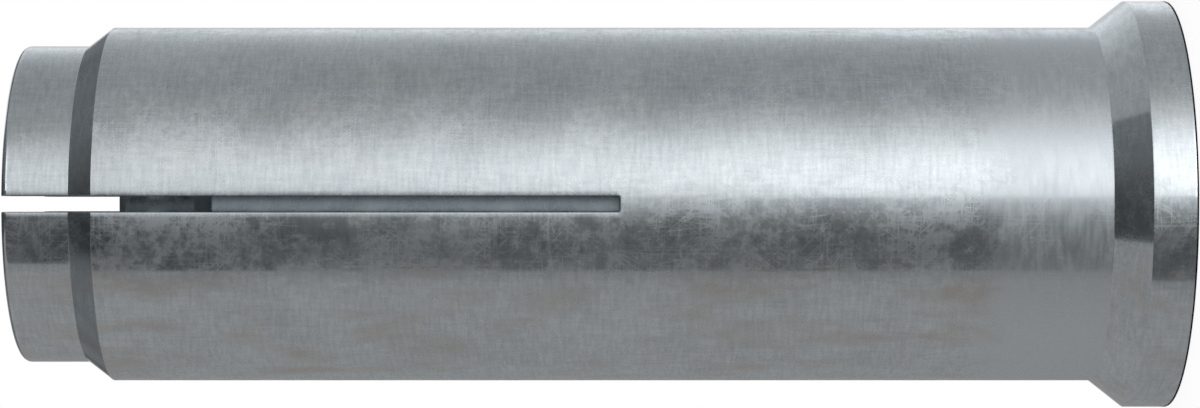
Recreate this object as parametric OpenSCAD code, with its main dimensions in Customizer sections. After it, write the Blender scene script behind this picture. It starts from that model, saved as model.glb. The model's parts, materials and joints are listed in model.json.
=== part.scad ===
// A drop-in anchor: a slotted steel sleeve with a collar, tapped at its mouth,
// and the plug inside it that a setting tool drives towards the nose to spread it.
// The origin is the centre of the mouth, and +Z runs along the sleeve to its nose.

/* [Hole and thread] */
// Diameter of the drilled hole that the anchor drops into
hole_d = 25; // [24:0.5:30]
// Gap all round between the body and the wall of the hole
hole_gap = 0.1; // [0.05:0.05:0.4]
// Diameter of the bolt's thread
thread_d = 20; // [16:0.5:20]
// Pitch of the thread
thread_pitch = 2.5; // [1.5:0.25:3]
// Depth of the tapped bore from the mouth
thread_depth = 34; // [20:1:35]
// Depth of the countersink that leads the bolt in
mouth_countersink = 1.6; // [0.5:0.1:2]

/* [Sleeve outside] */
// Length of the sleeve from its mouth to its nose
sleeve_l = 80; // [78:1:100]
// How far the collar stands out from the body
collar_stand = 1.85; // [0.5:0.05:3]
// Length of the collar's straight rim
collar_rim_l = 3; // [1:0.1:5]
// Length of the cone from the collar's rim down to the body
collar_cone_l = 2.35; // [0.5:0.05:4]
// How far the nose is turned down below the body
nose_step = 1.3; // [0.5:0.05:1.8]
// Length of the straight nose
nose_l = 4.55; // [2:0.05:8]
// Length of the cone from the body down to the nose
nose_cone_l = 1.7; // [0.5:0.05:4]
// Rounding of the nose's outer edge
nose_round = 0.42; // [0.1:0.02:0.8]
// Bevel on the collar's two rim edges
rim_bevel = 0.15; // [0.05:0.05:0.4]

/* [Sleeve inside] */
// How much smaller the guide bore is than the tapped bore, at its radius
guide_step = 0.3; // [0.25:0.05:0.6]
// Length of the taper inside the nose
taper_l = 8; // [4:0.5:8]
// How far the taper closes in, at its radius
taper_step = 1.9; // [1:0.1:2.2]
// Bevel on the bore's edge at the nose
nose_bevel = 0.3; // [0.1:0.05:0.6]

/* [Expansion slots] */
// Number of saw cuts across the sleeve, each of which makes two slots
saw_cuts = 2; // [1:1:4]
// Width of a slot
slot_w = 1.06; // [0.6:0.02:2]
// Length of a slot from the nose
slot_l = 41.6; // [30:0.2:44]
// Radius in the two corners at the end of a slot
slot_corner_r = 0.14; // [0.05:0.01:0.25]

/* [Expansion plug] */
// Length of the plug
plug_l = 36.4; // [20:0.2:36.6]
// Depth of the plug's front face inside the nose
plug_inset = 7.4; // [6:0.2:9]
// Running gap all round between the plug and the guide bore
plug_gap = 0.05; // [0.02:0.01:0.1]
// Length of the gentle cone at the plug's front
pilot_l = 5.4; // [3:0.1:8]
// How far the gentle cone narrows, at its radius
pilot_step = 1.1; // [0.5:0.1:2]
// Length of the steep shoulder behind the gentle cone
plug_shoulder_l = 1.2; // [0.5:0.1:2.4]
// How far the steep shoulder narrows, at its radius
plug_shoulder_step = 1.15; // [0.6:0.05:2]
// Bevel on the plug's front and back edges
plug_bevel = 0.5; // [0.2:0.05:0.8]

/* [Hidden] */
$fn = 128;
// How far a cutting tool runs past the face that it cuts
overrun = 1;
// Number of straight steps in a quarter round
round_steps = 6;

// The sleeve's radii
body_r = hole_d / 2 - hole_gap;
collar_r = body_r + collar_stand;
nose_r = body_r - nose_step;
// The tap drill takes out one pitch less than the thread's diameter
tapped_r = (thread_d - thread_pitch) / 2;
mouth_r = tapped_r + mouth_countersink;
guide_r = tapped_r - guide_step;
nose_bore_r = guide_r - taper_step;

// Heights along the sleeve
collar_top = collar_rim_l + collar_cone_l;
nose_bottom = sleeve_l - nose_l;
body_top = nose_bottom - nose_cone_l;
taper_bottom = sleeve_l - taper_l;
slot_end = sleeve_l - slot_l;

// The plug's radii and heights at rest
plug_r = guide_r - plug_gap;
pilot_base_r = plug_r - plug_shoulder_step;
pilot_tip_r = pilot_base_r - pilot_step;
plug_front = sleeve_l - plug_inset;
plug_back = plug_front - plug_l;
pilot_base = plug_front - pilot_l;
plug_shoulder = pilot_base - plug_shoulder_l;

// Points of a quarter round from the side at radius r to the face at height z
function quarter_round(r, z, size) = [
    for (step = [0 : round_steps])
        let (turn = 90 * step / round_steps)
        [r - size * (1 - cos(turn)), z - size * (1 - sin(turn))]
];

// Half of the sleeve's outline, from the centre of the mouth round to the centre of the nose
module sleeve_outline() {
    polygon(concat(
        [
            [0, 0],
            [collar_r - rim_bevel, 0],
            [collar_r, rim_bevel],
            [collar_r, collar_rim_l],
            [body_r, collar_top],
            [body_r, body_top],
            [nose_r, nose_bottom]
        ],
        quarter_round(nose_r, sleeve_l, nose_round),
        [[0, sleeve_l]]
    ));
}

// Half of the bore's outline: countersink, tapped bore, guide bore and taper
module bore_outline() {
    polygon([
        [0, -overrun],
        [mouth_r + overrun, -overrun],
        [tapped_r, mouth_countersink],
        [tapped_r, thread_depth],
        [guide_r, thread_depth + guide_step],
        [guide_r, taper_bottom],
        [nose_bore_r, sleeve_l - nose_bevel],
        [nose_bore_r + nose_bevel + overrun, sleeve_l + overrun],
        [0, sleeve_l + overrun]
    ]);
}

// One pass of the slitting saw right across the sleeve, with its end corners rounded
module saw_cut() {
    across = 2 * (collar_r + overrun);
    corner_x = slot_w / 2 - slot_corner_r;
    translate([-slot_w / 2, -across / 2, slot_end + slot_corner_r])
        cube([slot_w, across, slot_l + overrun]);
    translate([-corner_x, -across / 2, slot_end])
        cube([2 * corner_x, across, slot_l]);
    for (side = [-1, 1])
        translate([side * corner_x, 0, slot_end + slot_corner_r])
            rotate([90, 0, 0])
                cylinder(r = slot_corner_r, h = across, center = true, $fn = 32);
}

// The sleeve is turned and bored about its axis, then sawn crosswise from the nose.
// The turned faces begin midway between two slots, so that no slot runs along their seam.
module sleeve() {
    color([0.72, 0.74, 0.77])
        difference() {
            rotate([0, 0, 90 / saw_cuts])
                rotate_extrude()
                    difference() {
                        sleeve_outline();
                        bore_outline();
                    }
            for (cut = [0 : saw_cuts - 1])
                rotate([0, 0, 180 * cut / saw_cuts]) saw_cut();
        }
}

// The plug is one turned piece: a straight guide, a steep shoulder and a gentle cone
module expansion_plug() {
    color([0.5, 0.5, 0.52])
        rotate_extrude()
            polygon([
                [0, plug_back],
                [plug_r - plug_bevel, plug_back],
                [plug_r, plug_back + plug_bevel],
                [plug_r, plug_shoulder],
                [pilot_base_r, pilot_base],
                [pilot_tip_r, plug_front - plug_bevel],
                [pilot_tip_r - plug_bevel, plug_front],
                [0, plug_front]
            ]);
}

sleeve();
expansion_plug();
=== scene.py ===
# %% [markdown]
# # A drop-in anchor for concrete, dressed for its portrait
#
# The anchor is two turned pieces of steel. The sleeve is zinc plated, tapped at its mouth and sawn into
# four fingers at its nose. The plug slides inside it, and a setting tool drives it forward to spread the
# fingers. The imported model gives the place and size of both. This script rebuilds their surfaces finely
# enough for polished metal, gives them their finish and sets up the studio that they mirror.

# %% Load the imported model
import json
import math

import bmesh
import bpy
import numpy as np
from mathutils import Matrix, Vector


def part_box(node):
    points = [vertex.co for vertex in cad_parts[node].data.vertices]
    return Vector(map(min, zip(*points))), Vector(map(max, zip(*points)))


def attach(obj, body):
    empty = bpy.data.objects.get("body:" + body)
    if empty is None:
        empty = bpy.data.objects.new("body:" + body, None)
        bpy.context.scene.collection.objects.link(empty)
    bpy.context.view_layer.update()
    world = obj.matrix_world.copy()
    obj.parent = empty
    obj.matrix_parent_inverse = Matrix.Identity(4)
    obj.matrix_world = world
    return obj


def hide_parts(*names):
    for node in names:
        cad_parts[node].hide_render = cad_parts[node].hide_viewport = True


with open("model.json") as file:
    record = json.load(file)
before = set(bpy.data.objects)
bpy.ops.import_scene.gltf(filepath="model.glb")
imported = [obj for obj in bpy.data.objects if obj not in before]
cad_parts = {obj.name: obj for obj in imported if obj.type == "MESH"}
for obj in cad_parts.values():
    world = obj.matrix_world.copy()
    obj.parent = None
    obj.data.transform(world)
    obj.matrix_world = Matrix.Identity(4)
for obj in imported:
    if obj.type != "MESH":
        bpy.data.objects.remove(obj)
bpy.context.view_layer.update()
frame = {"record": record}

# %% [markdown]
# ## Sizes
#
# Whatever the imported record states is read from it: the box of the sleeve, the body that fills the
# drilled hole and the tapped bore. The rest are the real sizes that a caliper would find on the anchor.
# Blender works in metres, so every size in millimetres is multiplied by MM.

# %% Name the sizes
MM = 0.001
mounts = {mount["name"]: mount for mount in frame["record"]["mounts"]}
sleeve_low, sleeve_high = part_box("sleeve")
plug_low, plug_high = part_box("expansion_plug")

sleeve_l = sleeve_high.z
collar_r = sleeve_high.x
body_r = mounts["drilled_hole"]["dims"]["r_mm"] * MM
body_l = mounts["drilled_hole"]["dims"]["length_mm"] * MM
body_middle = mounts["drilled_hole"]["pos_m"][2]
collar_top = body_middle - body_l / 2
body_top = body_middle + body_l / 2
tapped_r = mounts["bolt_thread"]["dims"]["r_mm"] * MM

COLLAR_RIM_L = 3.0 * MM
NOSE_R = 11.1 * MM
NOSE_L = 4.55 * MM
THREAD_R = 10.0 * MM
THREAD_PITCH = 2.5 * MM
THREAD_DEPTH = 34.0 * MM
COUNTERSINK = 1.6 * MM
GUIDE_R = 8.45 * MM
TAPER_L = 8.0 * MM
NOSE_BORE_R = 6.55 * MM
NOSE_BEVEL = 0.3 * MM
SLOT_W = 1.06 * MM
SLOT_L = 41.6 * MM
SLOT_CORNER_R = 0.14 * MM
EDGE_BREAK = 0.09 * MM
SLOTS = 4

slot_end = sleeve_l - SLOT_L
print(f"sleeve {sleeve_l / MM:.2f} mm long, body {2 * body_r / MM:.2f} mm and collar {2 * collar_r / MM:.2f} mm across")

# %% [markdown]
# ## Outlines of turned pieces
#
# A lathe makes a piece from one outline, so each surface here starts as a list of corners in radius and
# height. A real corner is never dead sharp: the tool's nose or a file leaves a small round, and that
# round is what catches the light. A Bevel modifier could add it, but rounding the outline costs fewer
# faces. Two holding points beside each round keep the shading of the long straight faces flat.

# %% Round the corners of an outline
ROUND_STEPS = 5
HOLD = 0.12 * MM


def rounded(corners, radii):
    """Outline through the corners, with a circle of the given radius fitted into each.

    The circle's centre lies on the corner's bisector, where its distance from both sides is the radius,
    so it touches each side at radius * tan(half the turn) from the corner. A radius of 0 keeps the corner.
    """
    corners = np.asarray(corners, float)
    points = [corners[:1]]
    for before, corner, after, radius in zip(corners, corners[1:], corners[2:], radii):
        into = (corner - before) / np.linalg.norm(corner - before)
        out = (after - corner) / np.linalg.norm(after - corner)
        turn = math.atan2(into[0] * out[1] - into[1] * out[0], into @ out)
        reach = radius * math.tan(abs(turn) / 2)
        start = corner - into * reach
        side = np.array([-into[1], into[0]]) * math.copysign(1, turn)
        angles = np.linspace(0, abs(turn), ROUND_STEPS + 1)[:, None]
        arc = start + radius * (np.sin(angles) * into + (1 - np.cos(angles)) * side)
        points += [start[None] - into * HOLD, arc, corner[None] + out * (reach + HOLD)]
    points.append(corners[-1:])
    return np.concatenate(points)


# %% [markdown]
# ## From grids of points to a closed mesh
#
# Every surface is a grid: one array holds a point for each pair of parameters. Neighbouring points make
# the four-cornered faces, and where two grids share an edge their points are the same, so merging
# doubles sews them into one closed skin. Only then can Blender tell inside from outside.

# %% Sew grids into a mesh
SEW_DISTANCE = 0.0005 * MM
SHARP_ANGLE = math.radians(35)


def grid_faces(rows, columns):
    """Corner numbers of each face: (row, column), (row, column + 1), (row + 1, column + 1), (row + 1, column)."""
    first = (np.arange(rows - 1)[:, None] * columns + np.arange(columns - 1)).ravel()
    return np.stack([first, first + 1, first + columns + 1, first + columns], axis=1)


def sewn(name, grids, rims=()):
    """One closed mesh object from grids of points (rows, columns, 3) and from flat rims (points, 3)."""
    points, faces, used = [], [], 0
    for grid in grids:
        rows, columns = grid.shape[:2]
        points.append(grid.reshape(-1, 3))
        faces += (grid_faces(rows, columns) + used).tolist()
        used += rows * columns
    for rim in rims:
        points.append(rim)
        faces.append(list(range(used, used + len(rim))))
        used += len(rim)
    mesh = bpy.data.meshes.new(name)
    mesh.from_pydata(np.concatenate(points), [], faces)
    skin = bmesh.new()
    skin.from_mesh(mesh)
    bmesh.ops.remove_doubles(skin, verts=skin.verts, dist=SEW_DISTANCE)
    bmesh.ops.dissolve_degenerate(skin, edges=skin.edges, dist=SEW_DISTANCE / 10)
    bmesh.ops.recalc_face_normals(skin, faces=skin.faces)
    open_edges = sum(1 for edge in skin.edges if not edge.is_manifold)
    volume = skin.calc_volume(signed=True)
    skin.to_mesh(mesh)
    skin.free()
    mesh.shade_smooth()
    mesh.set_sharp_from_angle(angle=SHARP_ANGLE)
    mesh.calc_loop_triangles()
    piece = bpy.data.objects.new(name, mesh)
    bpy.context.scene.collection.objects.link(piece)
    print(f"{name}: {len(mesh.loop_triangles)} triangles, {open_edges} open edges, {volume / MM**3:.0f} mm3")
    return piece


# %% [markdown]
# ## The sleeve's outline
#
# The outline runs up the outside from the mouth, over the nose and down the inside back to the mouth.
# It is kept in two runs. The high run is where the slots are, and it has a slot on both sides of every
# finger. The low run closes all the way round. They meet at the rows beside the slots' ends.

# %% Draw the sleeve's outline
JOIN_STEPS = 5
JOIN_L = 0.5 * MM
ROW_STEP = 3.0 * MM
THREAD_ROWS_PER_TURN = 12

nose_bottom = sleeve_l - NOSE_L
taper_bottom = sleeve_l - TAPER_L
mouth_r = tapped_r + COUNTERSINK
guide_bottom = THREAD_DEPTH + (tapped_r - GUIDE_R)
join_high = slot_end + SLOT_CORNER_R
join_low = slot_end - EDGE_BREAK - JOIN_L
thread_top = guide_bottom + HOLD
thread_bottom = mouth_r - THREAD_R


def straight(start, end, step):
    """Evenly spaced points from start towards end, without the end itself."""
    count = max(1, round(np.linalg.norm(np.subtract(end, start)) / step))
    return np.linspace(start, end, count, endpoint=False)


high_run = np.concatenate([
    straight((body_r, join_high), (body_r, body_top - 1 * MM), ROW_STEP),
    rounded(
        [
            (body_r, body_top - 1 * MM),
            (body_r, body_top),
            (NOSE_R, nose_bottom),
            (NOSE_R, sleeve_l),
            (NOSE_BORE_R + NOSE_BEVEL, sleeve_l),
            (NOSE_BORE_R, sleeve_l - NOSE_BEVEL),
            (GUIDE_R, taper_bottom),
            (GUIDE_R, taper_bottom - 1 * MM),
        ],
        np.array([0.08, 0.08, 0.42, 0.15, 0.15, 0.5]) * MM,
    )[:-1],
    straight((GUIDE_R, taper_bottom - 1 * MM), (GUIDE_R, join_high), ROW_STEP),
    [(GUIDE_R, join_high)],
])
join_rows = np.linspace(join_high, join_low, JOIN_STEPS + 1)
thread_rows = np.arange(thread_top, thread_bottom, -THREAD_PITCH / THREAD_ROWS_PER_TURN)
low_run = np.concatenate([
    np.stack([np.full(JOIN_STEPS + 1, GUIDE_R), join_rows], axis=1),
    np.stack([np.full(len(thread_rows), tapped_r), thread_rows], axis=1),
    rounded(
        [
            (THREAD_R, thread_bottom),
            (mouth_r, 0),
            (collar_r, 0),
            (collar_r, COLLAR_RIM_L),
            (body_r, collar_top),
            (body_r, collar_top + 1 * MM),
        ],
        np.array([0.08, 0.15, 0.08, 0.08]) * MM,
    )[:-1],
    straight((body_r, collar_top + 1 * MM), (body_r, join_low), ROW_STEP),
    np.stack([np.full(JOIN_STEPS + 1, body_r), join_rows[::-1]], axis=1),
])
print(f"outline: {len(high_run)} rows with slots and {len(low_run)} rows all the way round")

# %% [markdown]
# ## The thread
#
# The mouth is tapped for a bolt. A modelled thread could be swept along a helix, but seen as a surface it
# is simpler: at every angle and height, the distance to the nearest groove decides the radius.

# %% Work out the thread's radius
THREAD_FLAT = THREAD_PITCH / 8
FLANK = math.tan(math.radians(30))
RUN_OUT = 1.5 * THREAD_PITCH


def bore_radius(turn, radius, height):
    """Radius of the inside at an angle and height.

    The groove's centre climbs one pitch in each turn. The radius is the thread's full radius within half
    a flat of it, falls by 1 / tan(30) of the distance beyond, and never goes below the drilled radius.
    The grooves fade out over the last turns, and the countersink cuts them away at the mouth.
    """
    tapped = (radius <= tapped_r + 1e-9) & (height <= thread_top + 1e-9)
    phase = height / THREAD_PITCH - turn / (2 * np.pi)
    away = np.abs(phase - np.round(phase)) * THREAD_PITCH
    groove = np.clip(THREAD_R - np.maximum(away - THREAD_FLAT / 2, 0) / FLANK, tapped_r, THREAD_R)
    fade = np.clip((THREAD_DEPTH - height) / RUN_OUT, 0, 1)
    drilled = np.clip(tapped_r + THREAD_DEPTH - height, GUIDE_R, tapped_r)
    cut = np.where(height < THREAD_DEPTH, tapped_r + (groove - tapped_r) * fade, drilled)
    return np.where(tapped, np.maximum(cut, mouth_r - height), radius)


# %% [markdown]
# ## Fingers, slots and the closed ring
#
# A saw cuts a slot with parallel sides, so a finger's edge isn't a radius but a line beside the slot's
# middle plane: at a radius r it stands asin(distance / r) away from it. The same formula holds outside,
# on the nose's face and inside, and so one grid covers a whole quarter of the sleeve.

# %% Make the quarters and the strips between them
QUARTER_COLUMNS = 60
CORNER_COLUMNS = 4
END_COLUMNS = 5
half_slot = SLOT_W / 2
half_open = half_slot + EDGE_BREAK


def placed(turn, radius, height):
    """Points in space at an angle from +X, a radius and a height."""
    turn, radius, height = np.broadcast_arrays(turn, radius, height)
    return np.stack([radius * np.cos(turn), radius * np.sin(turn), height], axis=-1)


def beside_slot(middle, across, radius, height):
    """Points at a distance across from the middle plane of the slot that lies at the angle middle."""
    return placed(middle + np.arcsin(across / radius), radius, height)


def slot_outline(out):
    """The slot's closed end as (across, height): a round corner, a straight end and a round corner.

    The outline lies out metres outside the slot's wall, and each corner turns about the same centre.
    """
    bend = np.linspace(0, np.pi / 2, CORNER_COLUMNS + 1)
    centre = half_slot - SLOT_CORNER_R
    corner_x = centre + (SLOT_CORNER_R + out) * np.cos(bend)
    corner_z = join_high - (SLOT_CORNER_R + out) * np.sin(bend)
    flat_x = np.linspace(-centre, centre, END_COLUMNS + 1)[1:-1]
    flat_z = np.full(len(flat_x), slot_end - out)
    across = np.concatenate([-corner_x, flat_x, corner_x[::-1]])
    height = np.concatenate([corner_z, flat_z, corner_z[::-1]])
    return across, height


def quarter(middle):
    """The finger and the quarter ring below it, from the slot at the angle middle to the next one."""
    run = np.concatenate([high_run, low_run[1:]])
    radius, height = run[:, :1], run[:, 1:]
    edge = np.arcsin(half_open / radius)
    share = np.linspace(0, 1, QUARTER_COLUMNS + 1)
    turn = middle + edge + share * (2 * np.pi / SLOTS - 2 * edge)
    return placed(turn, bore_radius(turn, radius, height), height)


def strip(middle):
    """The strip below a slot, whose two ends follow the rounded end of the slot."""
    across, end_height = slot_outline(EDGE_BREAK)
    radius, height = low_run[:, :1], np.repeat(low_run[:, 1:], len(across), axis=1)
    share = np.linspace(1, 0, JOIN_STEPS + 1)[:, None]
    height[: JOIN_STEPS + 1] = join_low + share * (end_height - join_low)
    height[-JOIN_STEPS - 1 :] = join_low + share[::-1] * (end_height - join_low)
    turn = middle + np.arcsin(across / radius)
    return placed(turn, bore_radius(turn, radius, height), height)


# %% [markdown]
# A slot's lining is its two flat walls, its end wall and the small round where each meets the outside,
# the nose's face or the bore. The round is worked out for the whole run of the outline at once: each
# step goes a little into the metal and a little towards the slot.

# %% Line the slots
BREAK_STEPS = 4
END_WALL_STEPS = 4

along = np.gradient(high_run, axis=0)
along /= np.linalg.norm(along, axis=1, keepdims=True)
into_metal = np.stack([-along[:, 1], along[:, 0]], axis=1)
break_angles = np.linspace(0, np.pi / 2, BREAK_STEPS + 1)


def slot_lining(middle):
    """Grids and flat rims that line the slot at the angle middle.

    A quarter round of radius EDGE_BREAK, at the angle a: EDGE_BREAK * (1 - sin a) outside the wall and
    EDGE_BREAK * (1 - cos a) into the metal.
    """
    out = EDGE_BREAK * (1 - np.sin(break_angles))
    depth = EDGE_BREAK * (1 - np.cos(break_angles))
    sunk = high_run[None] + depth[:, None, None] * into_metal[None]
    across = np.repeat((half_slot + out)[:, None], len(high_run), axis=1)
    grids, rims = [], []
    for side in (-1, 1):
        edge = beside_slot(middle, side * across, sunk[..., 0], sunk[..., 1])
        grids.append(edge)
        wall_radius = np.linspace(GUIDE_R + EDGE_BREAK, body_r - EDGE_BREAK, END_WALL_STEPS + 1)[1:-1]
        low_edge = beside_slot(middle, side * half_slot, wall_radius, join_high)
        rims.append(np.concatenate([edge[-1], low_edge]))
    ends = [slot_outline(distance) for distance in out]
    for start_radius, direction in ((body_r, -1), (GUIDE_R, 1)):
        grids.append(np.stack([
            beside_slot(middle, end[0], start_radius + direction * sink, end[1])
            for end, sink in zip(ends, depth)
        ]))
    wall_across, wall_height = ends[-1]
    wall_radius = np.linspace(GUIDE_R + EDGE_BREAK, body_r - EDGE_BREAK, END_WALL_STEPS + 1)[:, None]
    grids.append(beside_slot(middle, wall_across, wall_radius, wall_height))
    return grids, rims


middles = -np.pi / 2 + np.arange(SLOTS) * 2 * np.pi / SLOTS
sleeve_grids, sleeve_rims = [], []
for middle in middles:
    sleeve_grids += [quarter(middle), strip(middle)]
    lining_grids, lining_rims = slot_lining(middle)
    sleeve_grids += lining_grids
    sleeve_rims += lining_rims
sleeve = sewn("sleeve_skin", sleeve_grids, sleeve_rims)
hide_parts("sleeve")
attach(sleeve, "sleeve")

# %% [markdown]
# ## The plug
#
# The plug is turned in one go from hard steel: a straight guide that runs in the bore, a steep shoulder
# and a gentle cone that spreads the fingers. It needs only its outline, spun about the axis. Both ends
# of the outline lie on the axis, where the merged doubles close the surface.

# %% Make the plug
PLUG_COLUMNS = 160
PLUG_BEVEL = 0.5 * MM
PILOT_L = 5.4 * MM
PILOT_BASE_R = 7.25 * MM
PILOT_TIP_R = 6.15 * MM
PLUG_SHOULDER_L = 1.2 * MM
TIP_STAND = 0.15 * MM

plug_r = plug_high.x
plug_back, plug_front = plug_low.z, plug_high.z + TIP_STAND
pilot_base = plug_front - PILOT_L

plug_run = rounded(
    [
        (0, plug_back),
        (plug_r - PLUG_BEVEL, plug_back),
        (plug_r, plug_back + PLUG_BEVEL),
        (plug_r, pilot_base - PLUG_SHOULDER_L),
        (PILOT_BASE_R, pilot_base),
        (PILOT_TIP_R, plug_front - PLUG_BEVEL),
        (PILOT_TIP_R - PLUG_BEVEL, plug_front),
        (0, plug_front),
    ],
    np.array([0.1, 0.1, 0.3, 0.3, 0.12, 0.1]) * MM,
)
plug_turns = np.linspace(0, 2 * np.pi, PLUG_COLUMNS + 1)
plug = sewn("plug_skin", [placed(plug_turns, plug_run[:, :1], plug_run[:, 1:])])
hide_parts("expansion_plug")
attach(plug, "plug")

# %% [markdown]
# ## Colours and nodes
#
# Colours are written as sRGB hex values, as a screen shows them, and Blender calculates in linear light.
# One function turns the first into the second, and one function adds a node to a material's tree.

# %% Two helpers for materials


def linear(hex_colour):
    """Linear RGBA of an sRGB hex colour: c / 12.92 up to 0.04045, else ((c + 0.055) / 1.055) ** 2.4."""
    parts = [int(hex_colour[i : i + 2], 16) / 255 for i in (1, 3, 5)]
    return [c / 12.92 if c <= 0.04045 else ((c + 0.055) / 1.055) ** 2.4 for c in parts] + [1.0]


def add(tree, kind, inputs=(), output=0, **settings):
    """Add a node with its settings and links, and return the output that the next node reads.

    The inputs are a list from the first socket on, or go by name. A value is set on its socket, and
    another node's output is linked to it.
    """
    node = tree.nodes.new("ShaderNode" + kind)
    for key, value in settings.items():
        setattr(node, key, value)
    for key, value in inputs.items() if isinstance(inputs, dict) else enumerate(inputs):
        if isinstance(value, bpy.types.NodeSocket):
            tree.links.new(value, node.inputs[key])
        else:
            node.inputs[key].default_value = value
    return node.outputs[output] if node.outputs else node


def new_material(name):
    """An empty material and its tree."""
    material = bpy.data.materials.new(name)
    material.use_nodes = True
    material.node_tree.nodes.clear()
    return material, material.node_tree


# %% [markdown]
# ## Zinc-plated steel
#
# The sleeve is turned on a lathe, plated with a few thousandths of a millimetre of zinc in a barrel with
# hundreds of others, and tumbled about among them. To the eye it is a cool grey mirror, hazy in clouds,
# crossed by hair-fine scratches and a little uneven in tone. An image could carry all that, but noise
# worked out from the place on the piece stays sharp at any distance and has no seam.
#
# A metal's look is that of its reflections. So the finish is a mix of two metals, a clear one with a low
# roughness and a hazy one with a high roughness, and the patterns decide where each shows. They all read
# the place in millimetres, so each size below is the size of a spot or a wave on the real piece.

# %% Start the zinc from the place in millimetres
zinc, tree = new_material("zinc_plated_steel")
where = add(tree, "TexCoord", output="Object")
place = add(tree, "VectorMath", [where, (1 / MM,) * 3], operation="MULTIPLY")
height = add(tree, "SeparateXYZ", [place], "Z")

# %% [markdown]
# Zinc dulls unevenly in the bath and in the dip that follows it. Two noises of different size make the
# clouds: a fine one with many octaves, whose edges are frayed, and a broad one that gathers it into patches.
# On the flank towards +X the plating is calmer, so the clouds keep about half their contrast there. Specks
# of half a millimetre break up what would otherwise be an even veil.

# %% Spread the clouds
CLOUD_MM = 1.7
PATCH_MM = 4.5
PATCH_SHARE = 0.7
CALM_FLANK = (-0.5, 2.5)
MEAN_HAZE = 0.44
SPECK_MM = 0.55
SPECK_FLOOR = 0.14

clouds = add(tree, "TexNoise", {"Vector": place, "Scale": 1 / CLOUD_MM, "Detail": 8.0, "Roughness": 0.72})
patches = add(tree, "TexNoise", {"Vector": place, "Scale": 1 / PATCH_MM, "Detail": 4.0})
drift = add(tree, "Math", [patches, PATCH_SHARE, clouds], operation="MULTIPLY_ADD")
haze = add(tree, "MapRange", [drift, 0.735, 0.975])
flank = add(tree, "SeparateXYZ", [place], "X")
contrast = add(tree, "MapRange", [flank, *CALM_FLANK, 1.2, 0.6])
haze = add(tree, "Math", [haze, MEAN_HAZE], operation="SUBTRACT")
haze = add(tree, "Math", [haze, contrast, MEAN_HAZE + SPECK_FLOOR], operation="MULTIPLY_ADD", use_clamp=True)
specks = add(tree, "TexNoise", {"Vector": place, "Scale": 1 / SPECK_MM, "Detail": 3.0})
specks = add(tree, "MapRange", [specks, 0.36, 0.62, 0.5, 1.08])
haze = add(tree, "Math", [haze, specks, -SPECK_FLOOR / 2], operation="MULTIPLY_ADD", use_clamp=True)

# %% [markdown]
# A scratch could be a thin curve in a mask, but a line where a noise crosses its middle value is a scratch
# already. Long waves lay such lines along one direction. Turning the place about the axis as it climbs winds
# them round the sleeve as a screw would. Real scratches are a hundredth of a millimetre wide, which no
# pixel here could show, so they are drawn about five times as wide.

# %% Scratch it
NOISE_MIDDLE = 0.5
CLIMB = 1 / (body_r / MM)


def scratches(waves, wind, width):
    """Thin lines, 1 on a scratch and 0 beside it.

    The place is turned about Z by wind radians for each millimetre of height and divided by the lengths of
    the noise's waves in X, Y and Z. A line is where the noise lies closer to its middle value than width.
    """
    angle = add(tree, "Math", [height, wind], operation="MULTIPLY")
    wound = add(tree, "VectorRotate", {"Vector": place, "Angle": angle}, rotation_type="Z_AXIS")
    stretched = add(tree, "VectorMath", [wound, waves], operation="DIVIDE")
    noise = add(tree, "TexNoise", {"Vector": stretched, "Scale": 1.0, "Detail": 0.0})
    away = add(tree, "Math", [noise, NOISE_MIDDLE], operation="SUBTRACT")
    away = add(tree, "Math", [away], operation="ABSOLUTE")
    return add(tree, "MapRange", [away, 0.0, width, 1.0, 0.0])


SCRATCHES = {
    "round the sleeve": ((4.5, 4.5, 0.36), 0.0, 0.052),
    "along it": ((0.36, 0.36, 4.5), 0.0, 0.052),
    "climbing to one side": ((0.8, 0.8, 7.0), CLIMB, 0.03),
    "climbing to the other": ((0.8, 0.8, 7.0), -0.7 * CLIMB, 0.03),
    "curling": ((2.9, 2.9, 2.9), 0.0, 0.01),
}
lines = None
for waves, wind, width in SCRATCHES.values():
    layer = scratches(waves, wind, width)
    lines = layer if lines is None else add(tree, "Math", [lines, layer], operation="MAXIMUM")

# %% [markdown]
# Pieces in a barrel knock together in some places more than in others, so a slower noise gathers the
# scratches in clusters and nearly clears them away between.

# %% Gather the scratches
CLUSTER_MM = 2.9
clusters = add(tree, "TexNoise", {"Vector": place, "Scale": 1 / CLUSTER_MM, "Detail": 2.0})
clusters = add(tree, "MapRange", [clusters, 0.44, 0.58, 0.18, 1.0])
lines = add(tree, "Math", [lines, clusters], operation="MULTIPLY")

# %% [markdown]
# The haze isn't the same everywhere. A dull band with a ragged edge runs round the body just above the
# collar, where rubbing has left streaks instead of clouds. The two cones and the nose's ring were turned last and stayed clearer. The slots were sawn, and
# little zinc reaches into a gap of one millimetre, so their walls are dull and grey.

# %% Vary the haze by place
RAGGED = 6.0
BAND_END = (15.0, 18.0)
BAND_STREAKS = (2.0, 2.0, 0.45)
BAND_HAZE = (0.5, 0.8)
BAND_SCRATCHES = -0.7
CONE_CLEAR = -0.72
RING_CLEAR = -0.6
COLLAR_CLEAR = -0.35
SCRATCH_HAZE = (0.45, 0.2)


def between(low, high):
    """1 where the height in millimetres lies between two heights in metres, and 0 elsewhere."""
    middle, reach = (low + high) / 2 / MM, (high - low) / 2 / MM
    return add(tree, "Math", [height, middle, reach], operation="COMPARE")


def streaks(waves, detail):
    """Noise whose waves have the given lengths in millimetres in X, Y and Z."""
    stretched = add(tree, "VectorMath", [place, waves], operation="DIVIDE")
    return add(tree, "TexNoise", {"Vector": stretched, "Scale": 1.0, "Detail": detail})


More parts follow.
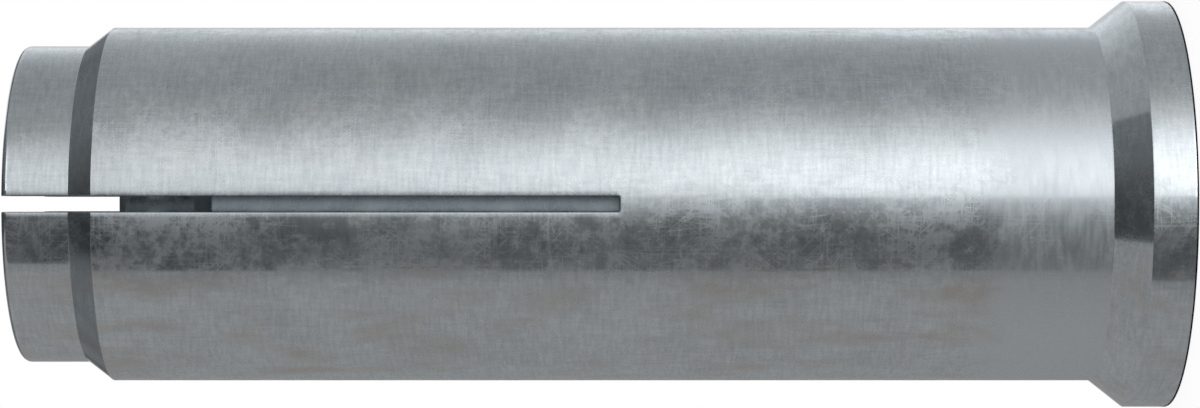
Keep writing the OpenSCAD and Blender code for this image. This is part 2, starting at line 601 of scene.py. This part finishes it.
wavy = add(tree, "Math", [clouds, RAGGED, height], operation="MULTIPLY_ADD")
band = add(tree, "Math", [height, collar_top / MM], operation="GREATER_THAN")
band = add(tree, "Math", [band, add(tree, "MapRange", [wavy, *BAND_END, 1.0, 0.0])], operation="MULTIPLY")
band_haze = add(tree, "MapRange", [streaks(BAND_STREAKS, 3.0), 0.35, 0.65, *BAND_HAZE])
cones = add(tree, "Math", [between(body_top, nose_bottom), between(COLLAR_RIM_L, collar_top)], operation="ADD")
kept = add(tree, "Math", [cones, CONE_CLEAR, 1.0], operation="MULTIPLY_ADD")
kept = add(tree, "Math", [between(nose_bottom, sleeve_l), RING_CLEAR, kept], operation="MULTIPLY_ADD")
kept = add(tree, "Math", [between(0, COLLAR_RIM_L), COLLAR_CLEAR, kept], operation="MULTIPLY_ADD")
haze = add(tree, "Mix", {0: band, 2: haze, 3: band_haze})
haze = add(tree, "Math", [haze, kept], operation="MULTIPLY")
scratch_haze = add(tree, "Math", [kept, *SCRATCH_HAZE], operation="MULTIPLY_ADD")
fewer = add(tree, "Math", [band, BAND_SCRATCHES, 1.0], operation="MULTIPLY_ADD")
lines = add(tree, "Math", [lines, fewer], operation="MULTIPLY")
haze = add(tree, "Math", [lines, scratch_haze, haze], operation="MULTIPLY_ADD", use_clamp=True)

# %% [markdown]
# A slot's walls are the places closer to the plane X = 0 or Y = 0 than half the slot's width, above its end.

# %% Find the sawn walls
side_x = add(tree, "Math", [flank], operation="ABSOLUTE")
side_y = add(tree, "SeparateXYZ", [place], "Y")
side_y = add(tree, "Math", [side_y], operation="ABSOLUTE")
nearest = add(tree, "Math", [side_x, side_y], operation="MINIMUM")
in_slot = add(tree, "Math", [nearest, (half_slot + EDGE_BREAK / 2) / MM], operation="LESS_THAN")
sawn = add(tree, "Math", [in_slot, between(slot_end - EDGE_BREAK, sleeve_l)], operation="MULTIPLY")
haze = add(tree, "Math", [haze, sawn], operation="MAXIMUM")

# %% [markdown]
# The tone wavers by a few hundredths: fine streaks round the sleeve from the lathe, fine streaks along it,
# and broad patches from the bath. Zinc is a slightly bluish grey. Towards -X a warm tint is painted in
# streaks. It is a painted reflection of warm light on that flank, not a tint of the zinc.

# %% Colour the zinc
STREAK_ROUND = (1.4, 1.4, 0.22)
STREAK_ALONG = (0.22, 0.22, 1.7)
WARM_REFLECTION_WAVES = (2.0, 2.0, 5.9)
GRAIN_MM = 0.25

grain = add(tree, "TexNoise", {"Vector": place, "Scale": 1 / GRAIN_MM, "Detail": 2.0, "Roughness": 0.6})
tone = add(tree, "Math", [streaks(STREAK_ALONG, 3.0), 0.6, streaks(STREAK_ROUND, 3.0)], operation="MULTIPLY_ADD")
tone = add(tree, "Math", [grain, 0.3, tone], operation="MULTIPLY_ADD")
tone = add(tree, "Math", [patches, 0.6, tone], operation="MULTIPLY_ADD")
tone = add(tree, "MapRange", [tone, 0.8, 1.7])
colour = add(tree, "Mix", {0: tone, 6: linear("#C8CFD4"), 7: linear("#EFF5F8")}, 2, data_type="RGBA")

# Painted reflection: streaks of warm tint, stronger towards -X, stand in for warm light mirrored by that flank.
painted_warm_reflection_side = add(tree, "MapRange", [flank, -2.0, -6.0, 0.15, 0.85])
painted_warm_reflection = add(tree, "MapRange", [streaks(WARM_REFLECTION_WAVES, 4.0), 0.48, 0.72])
painted_warm_reflection = add(tree, "Math", [painted_warm_reflection, painted_warm_reflection_side], operation="MULTIPLY")
colour = add(tree, "Mix", {0: painted_warm_reflection, 6: colour, 7: linear("#D3CECB")}, 2, data_type="RGBA")
colour = add(tree, "Mix", {0: band, 6: colour, 7: linear("#E2E8EC")}, 2, data_type="RGBA")
colour = add(tree, "Mix", {0: sawn, 6: colour, 7: linear("#B2B8BC")}, 2, data_type="RGBA")

# %% [markdown]
# Roughness 0.08 is a bright plated surface in which edges stay sharp. The hazy metal's roughness of about
# 0.4 spreads a lamp over a quarter of the body. The scratches are also furrows: bump turns them from a
# height into slopes, and both metals share it.

# %% Mix the two metals
CLEAR_ROUGHNESS = 0.08
HAZE_ROUGHNESS = 0.38
BAND_ROUGHNESS = 0.14
FURROW = 0.0004 * MM

bump = add(tree, "Bump", {"Height": lines, "Distance": FURROW, "Strength": 1.0})
rough = add(tree, "Math", [band, BAND_ROUGHNESS, HAZE_ROUGHNESS], operation="MULTIPLY_ADD")
clear = add(tree, "BsdfPrincipled", {
    "Base Color": colour,
    "Metallic": 1.0,
    "Roughness": CLEAR_ROUGHNESS,
    "Normal": bump,
})
hazy = add(tree, "BsdfPrincipled", {
    "Base Color": colour,
    "Metallic": 1.0,
    "Roughness": rough,
    "Normal": bump,
})
both = add(tree, "MixShader", [haze, clear, hazy])
add(tree, "OutputMaterial", {"Surface": both})
sleeve.data.materials.append(zinc)
print(f"zinc: {len(tree.nodes)} nodes")

# %% [markdown]
# ## Hardened steel
#
# The plug isn't plated. It is turned from bar, hardened and left as it comes out of the oil: a satin
# blue-grey, darker in spots. The lathe's feed of a tenth of a millimetre leaves rings, which are drawn
# 0.3 mm apart so that they show. Waves that are long in X and Y and short in Z make rings that aren't
# quite even.

# %% Make the hardened steel
RING_WAVES = (6.0, 6.0, 0.3)
SPOT_MM = 1.6
RING_DEPTH = 0.001 * MM

steel, tree = new_material("hardened_steel")
where = add(tree, "TexCoord", output="Object")
place = add(tree, "VectorMath", [where, (1 / MM,) * 3], operation="MULTIPLY")
rings = streaks(RING_WAVES, 2.0)
spots = add(tree, "TexNoise", {"Vector": place, "Scale": 1 / SPOT_MM, "Detail": 5.0, "Roughness": 0.6})
colour = add(tree, "MapRange", [spots, 0.35, 0.65])
colour = add(tree, "Mix", {0: colour, 6: linear("#AAB5BB"), 7: linear("#C6D0D6")}, 2, data_type="RGBA")
rough = add(tree, "Math", [rings, 0.5, spots], operation="MULTIPLY_ADD")
rough = add(tree, "MapRange", [rough, 0.5, 1.0, 0.24, 0.34])
bump = add(tree, "Bump", {"Height": rings, "Distance": RING_DEPTH, "Strength": 1.0})
metal = add(tree, "BsdfPrincipled", {
    "Base Color": colour,
    "Metallic": 1.0,
    "Roughness": rough,
    "Normal": bump,
})
add(tree, "OutputMaterial", {"Surface": metal})
plug.data.materials.append(steel)
print(f"hardened steel: {len(tree.nodes)} nodes")

# %% [markdown]
# ## The studio
#
# Polished metal hardly has a look of its own: it shows what stands around it. So the studio comes first of
# all as light by direction. The turn of a direction is counted from the camera's side towards the key
# light, and its rise from the level. A big ball round the anchor glows as the walls, the key light and the
# dark gap for the lens would, and only mirror rays see it. Lamps could do the same, but a metal shows each
# lamp's outline, and a table of light by turn is matched to a real photograph much faster.

# %% Work out the light of the walls
STUDIO_TURNS = 1441
STUDIO_RISES = 361
WALLS = {
    -180: 0.56, -172: 0.56, -169: 0.285, -50: 0.303, -48: 0.262, -44: 0.25, -42.5: 0.125, -37: 0.117,
    -30: 0.095, -23: 0.097, -16: 0.113, -10: 0.157, -5: 0.26, -1: 0.385, 3.2: 0.53, 4.6: 0.79, 8: 0.97,
    12: 1.1, 18: 1.12, 25: 1.06, 32: 0.95, 40: 0.77, 50: 0.565, 60: 0.41, 70: 0.325, 80: 0.29,
    95: 0.292, 110: 0.325, 120: 0.37, 130: 0.46, 140: 0.61, 150: 0.8, 156: 0.88, 163: 0.65,
    167: 0.65, 172: 0.8, 180: 0.56,
}


def ramp(value, start, end):
    """Smooth step: 0 at start, 1 at end, and 3 s^2 - 2 s^3 of the share s between them."""
    share = np.clip((value - start) / (end - start), 0, 1)
    return share * share * (3 - 2 * share)


turns, rises = np.meshgrid(np.linspace(-180, 180, STUDIO_TURNS), np.linspace(-90, 90, STUDIO_RISES))
glow = np.interp(turns, list(WALLS), list(WALLS.values()))

# %% [markdown]
# The key light is brighter low down than high up. Beside it the walls gain light both below and above,
# as they do around any big lamp, and the wall behind gains a little below the level. The gap for the lens
# darkens to both ends.

# %% Vary the walls with the rise
KEY_RISES = [-9, -3, 0, 4, 9, 16]
KEY_FALL = [1.18, 1.06, 0.94, 0.79, 0.705, 0.68]

key = ramp(turns, 3.2, 4.6) * (1 - ramp(turns, 50, 75))
near_key = ramp(turns, 3.2, 4.6) * (1 - ramp(turns, 28, 60))
behind_right = ramp(turns, 132, 142) * (1 - ramp(turns, 166, 172))
lens_gap = ramp(turns, -44, -42) * (1 - ramp(turns, -10, 0))
glow *= 1 + key * (np.interp(rises, KEY_RISES, KEY_FALL) - 1)
glow *= 1 + near_key * (1.1 * ramp(-rises, 9, 22) + 0.9 * ramp(rises, 12, 30))
glow *= 1 + (1 - key) * (0.25 * ramp(-rises, 11, 22) + 0.08 * ramp(rises, 11, 22))
glow *= 1 + 0.28 * behind_right * ramp(-rises, 3, 8)
glow *= 1 - lens_gap * (0.42 * ramp(rises, 5, 9) + 0.12 * ramp(-rises, 5, 9))

# %% [markdown]
# Overhead hangs a lid that is nearly black above the lens and greyer to the sides. The two cones of the
# sleeve lean back and show it. Its edges are planes, so they are written with the three parts of the
# direction: to the right, back and up. The lean is that of a mirror that would show this direction to
# the camera. The lid ends where no cone would look, so that other faces don't go black.

# %% Hang the lid
HIGH = {-180: 0.3, -38: 0.29, 80: 0.345, 180: 0.345}
LID = {
    -0.6: 0.16, -0.44: 0.15, -0.34: 0.1, -0.26: 0.06, -0.15: 0.045, 0: 0.048, 0.1: 0.058,
    0.33: 0.108, 0.6: 0.15,
}
LID_BACK = [-0.3, 0.1, 0.3, 0.7, 0.83]
LID_GAIN = [1.15, 1.1, 1, 1, 1.6]

right = np.cos(np.radians(rises)) * np.sin(np.radians(turns))
back = -np.cos(np.radians(rises)) * np.cos(np.radians(turns))
up = np.sin(np.radians(rises))
lean = np.degrees(np.arcsin(up / np.sqrt(np.maximum(2 - 2 * back, 1e-6))))
aside = np.degrees(np.arctan2(np.abs(right), 1 - back))

high = np.interp(turns, list(HIGH), list(HIGH.values()))
glow += (high - glow) * ramp(rises, 34, 44) * (1 - ramp(np.abs(turns), 134, 146))
lid_back = ramp(up + 0.6 * back, 0.82, 0.835)
lid_front = (1 - ramp(right, 0.575, 0.59)) * ramp(up, 0.6, 0.64)
lid_low = (1 - ramp(right, 0.12, 0.18)) * ramp(up, 0.34, 0.42)
lid_front = np.maximum(lid_front, lid_low) * ramp(right, -0.275, -0.26) * (1 - ramp(back, 0.05, 0.1))
lid_share = np.maximum(lid_back, lid_front)
lid_share *= (1 - ramp(lean, 62, 70)) * (1 - ramp(lean, 50, 57) * ramp(aside, 20, 34))
lid = np.interp(right, list(LID), list(LID.values())) * np.interp(back, LID_BACK, LID_GAIN)
lid *= 1 - 0.35 * ramp(up, 0.93, 0.96) * ramp(-right, 0.08, 0.14) * (1 - ramp(-right, 0.3, 0.36))
glow += (lid - glow) * lid_share

# %% [markdown]
# The floor's light fills the ball from below. The gap for the lens and the lid are a little bluer than
# the walls: colour film could be hung there, and here three numbers tint the light.

# %% Light the floor's side and tint the light
LOW = 0.42
COOL_TURNS = [-180, -44, -42, 3, 5, 60, 80, 160, 170]
COOL = [0, 0, 1, 1, 0.3, 0.3, 0.8, 0.8, 0]
LID_COOL = 1.6
TINT = np.array([-0.035, 0, 0.03])

glow += (LOW - glow) * ramp(-rises, 36, 60)
cool = np.interp(turns, COOL_TURNS, COOL)
cool += (LID_COOL - cool) * lid_share
glow = glow[..., None] * (1 + cool[..., None] * TINT)
print(f"studio light from {glow.min():.2f} to {glow.max():.2f}")

# %% [markdown]
# The ball is a grid like every other surface, and the light is a colour kept at its points. It hides from
# the camera and casts no light or shadow on the floor, so it is there for the metal alone.

# %% Hang the light on a ball
STUDIO_R = 1.2
turn, rise = np.radians(turns), np.radians(rises)
ball = STUDIO_R * np.stack([np.cos(rise) * np.sin(turn), -np.cos(rise) * np.cos(turn), np.sin(rise)], axis=-1)
ball[..., 2] += sleeve_l / 2
glow = np.concatenate([glow, np.ones_like(turns)[..., None]], axis=-1)
mesh = bpy.data.meshes.new("studio_wall")
mesh.from_pydata(ball.reshape(-1, 3), [], grid_faces(*turns.shape).tolist())
mesh.attributes.new("glow", "FLOAT_COLOR", "POINT").data.foreach_set("color", glow.ravel().astype(np.float32))
wall = bpy.data.objects.new("studio_wall", mesh)
bpy.context.scene.collection.objects.link(wall)
wall.visible_camera = False
wall.visible_diffuse = False
wall.visible_shadow = False

material, tree = new_material("glowing_studio_wall")
reading = add(tree, "Attribute", output="Color", attribute_name="glow")
glowing = add(tree, "Emission", {"Color": reading, "Strength": 1.0})
add(tree, "OutputMaterial", {"Surface": glowing})
mesh.materials.append(material)

# %% [markdown]
# ## The floor and the world
#
# The anchor stands on white paper that fades into a white room. Paper is matt white, and a share of plain
# light makes it come out white in the picture, while the rest still darkens in the anchor's shadow. Mirror
# rays pass through the paper to the ball, but for the strip right at the collar's foot: what lies in the
# shade of a rim is black in its reflection.

# %% Lay the floor
FLOOR_R = 1.0
SHADOW_SHARE = 0.15
PAPER_LIGHT = 1.01
FOOT_SHADE = 0.35 * MM

bpy.ops.mesh.primitive_circle_add(vertices=96, radius=FLOOR_R, fill_type="NGON")
floor = bpy.context.object
floor.name = "floor"

material, tree = new_material("white_paper")
paper = add(tree, "BsdfDiffuse", {"Color": (1, 1, 1, 1)})
white = add(tree, "Emission", {"Color": (1, 1, 1, 1), "Strength": PAPER_LIGHT})
seen = add(tree, "MixShader", [SHADOW_SHARE, white, paper])
where = add(tree, "TexCoord", output="Object")
from_axis = add(tree, "VectorMath", [where], "Value", operation="LENGTH")
foot = add(tree, "Math", [from_axis, collar_r + FOOT_SHADE], operation="LESS_THAN")
passing = add(tree, "BsdfTransparent")
shade = add(tree, "Emission", {"Color": (0, 0, 0, 1), "Strength": 0.0})
mirrored = add(tree, "MixShader", [foot, passing, shade])
mirror_ray = add(tree, "LightPath", output="Is Glossy Ray")
surface = add(tree, "MixShader", [mirror_ray, seen, mirrored])
add(tree, "OutputMaterial", {"Surface": surface})
floor.data.materials.append(material)

# %% Paint the world white
world = bpy.data.worlds.new("studio")
world.use_nodes = True
tree = world.node_tree
tree.nodes.clear()
white = add(tree, "Background", {"Color": (1, 1, 1, 1), "Strength": 1.0})
add(tree, "OutputWorld", {"Surface": white})
bpy.context.scene.world = world

# %% [markdown]
# ## The camera
#
# The portrait shows the anchor lying on its side, but it is taken of a standing one with the camera rolled
# over: the picture's right is down and its top is the anchor's X axis. A lens of 102 mm on a 36 mm sensor
# from 239 mm away gives the perspective that the ends of the sleeve show.

# %% Set the camera
LENS_MM = 102
SENSOR_MM = 36
CAMERA_PLACE = (0, -0.2394, 0.03971)
PICTURE_AXES = Matrix(((0, 1, 0), (0, 0, -1), (-1, 0, 0)))

camera_data = bpy.data.cameras.new("camera")
camera_data.lens = LENS_MM
camera_data.sensor_width = SENSOR_MM
camera_data.clip_start = 0.01
camera = bpy.data.objects.new("camera", camera_data)
bpy.context.scene.collection.objects.link(camera)
camera.location = CAMERA_PLACE
camera.rotation_mode = "QUATERNION"
camera.rotation_quaternion = PICTURE_AXES.to_quaternion()
bpy.context.scene.camera = camera
bpy.context.scene.view_settings.view_transform = "Standard"
